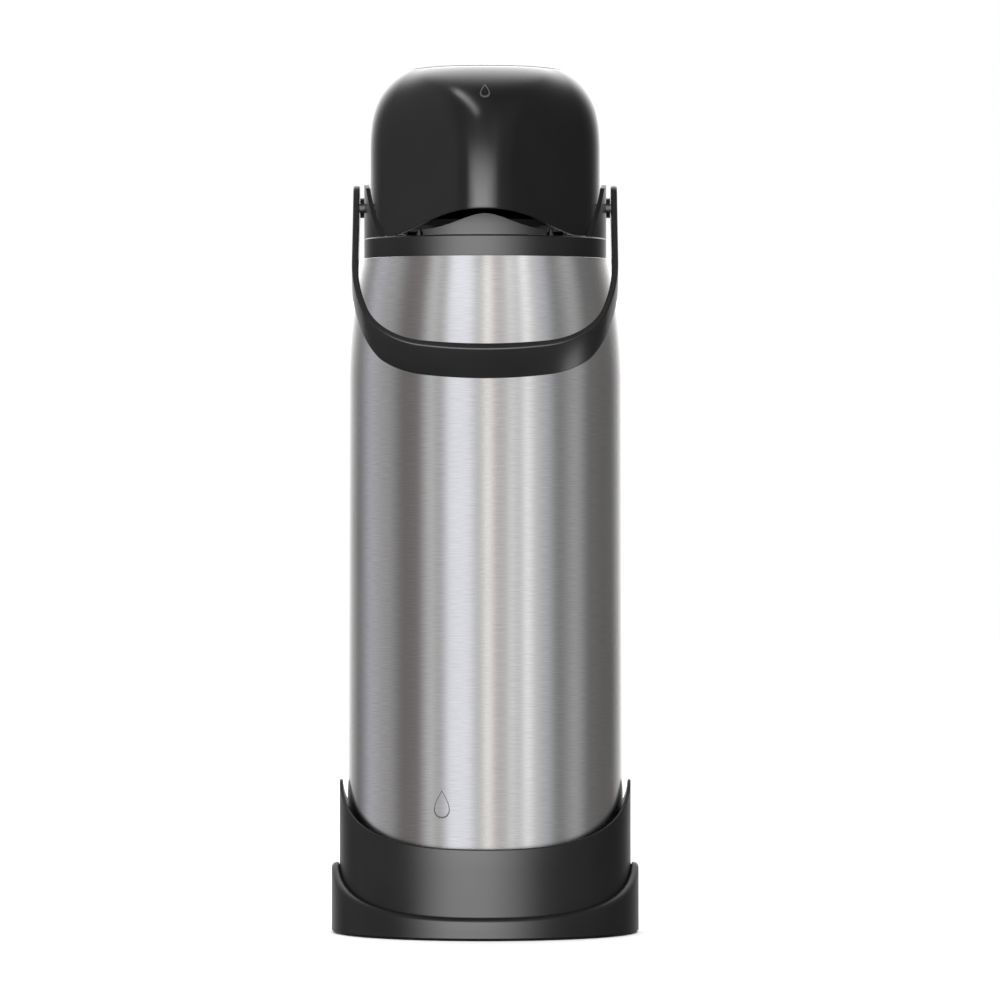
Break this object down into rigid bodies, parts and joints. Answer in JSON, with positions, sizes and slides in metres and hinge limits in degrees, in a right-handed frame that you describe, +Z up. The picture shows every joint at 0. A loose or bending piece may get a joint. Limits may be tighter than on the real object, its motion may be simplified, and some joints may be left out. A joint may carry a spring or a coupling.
{
  "type": "thermal coffee airpot",
  "caption": "Tall pump airpot with a brushed steel body, black swivel base, hinged pump head and folding strap handle.",
  "frame": {"origin": "centre of the swivel foot's underside, on the table, under the bottle's axis", "axes": "+Z up, the spout points to -Y, the head's hinge is at +Y, +X to the right seen from the front"},
  "size_m": [0.135, 0.1484, 0.3806],
  "materials": {
    "steel_body": "brushed",
    "plain_steel": "satin",
    "black_gloss": "gloss",
    "black_satin": "satin",
    "inner_plastic": "satin",
    "black_rubber": "matte",
    "pale_rubber": "matte",
    "silvered_glass": "polished"
  },
  "bodies": {
    "foot": {"swivel_foot": "black_satin", "foot_pad": "black_rubber", "foot_bearing": "inner_plastic", "foot_pivot_screw": "plain_steel", "foot_washer": "plain_steel"},
    "bottle": {"base_skirt": "black_satin", "base_cup": "black_satin", "outer_shell": "steel_body", "liner_support": "inner_plastic", "liner_seat": "black_rubber", "liner_outer_glass": "silvered_glass", "liner_inner_glass": "silvered_glass", "liner_spacer": "pale_rubber", "neck_gasket": "pale_rubber", "collar_ring": "black_satin", "tube_flange": "black_satin", "dip_tube": "inner_plastic", "handle_lug_left": "black_satin", "handle_lug_right": "black_satin", "handle_pins": "plain_steel", "guide_posts": "black_gloss", "hinge_pin": "plain_steel"},
    "handle": {"handle_bail": "black_satin"},
    "head": {"head_cover": "black_gloss", "head_base": "black_satin", "head_screws": "plain_steel", "mouth_gasket": "black_rubber", "outlet_seal": "black_rubber", "outlet_pipe": "black_satin", "spout_nozzle": "black_satin", "air_duct": "black_satin", "bellows_seat": "inner_plastic", "bellows": "pale_rubber", "return_spring": "plain_steel", "button_bezel": "black_satin"},
    "button": {"push_button": "black_gloss", "button_plunger": "inner_plastic", "pusher_plate": "inner_plastic", "inlet_flap": "pale_rubber"},
    "catch": {"catch_plate": "black_satin"}
  },
  "joints": [
    {"name": "base_swivel", "type": "hinge", "parent": "foot", "child": "bottle", "pos_m": [0, 0, 0.004], "axis": [0, 0, 1], "continuous": true},
    {"name": "handle_swing", "type": "hinge", "parent": "bottle", "child": "handle", "pos_m": [0, 0, 0.3182], "axis": [-1, 0, 0], "range_deg": [0, 270]},
    {"name": "head_hinge", "type": "hinge", "parent": "bottle", "child": "head", "pos_m": [0, 0.0572, 0.3032], "axis": [-1, 0, 0], "range_deg": [0, 95]},
    {"name": "button_press", "type": "slide", "parent": "head", "child": "button", "axis": [0, 0, -1], "range_m": [0, 0.018], "stiffness_N_per_m": 180, "springref_m": -0.03, "deforming": ["bellows", "return_spring"]},
    {"name": "catch_press", "type": "slide", "parent": "bottle", "child": "catch", "axis": [0, 1, 0], "range_m": [0, 0.003], "stiffness_N_per_m": 800, "springref_m": -0.002}
  ]
}
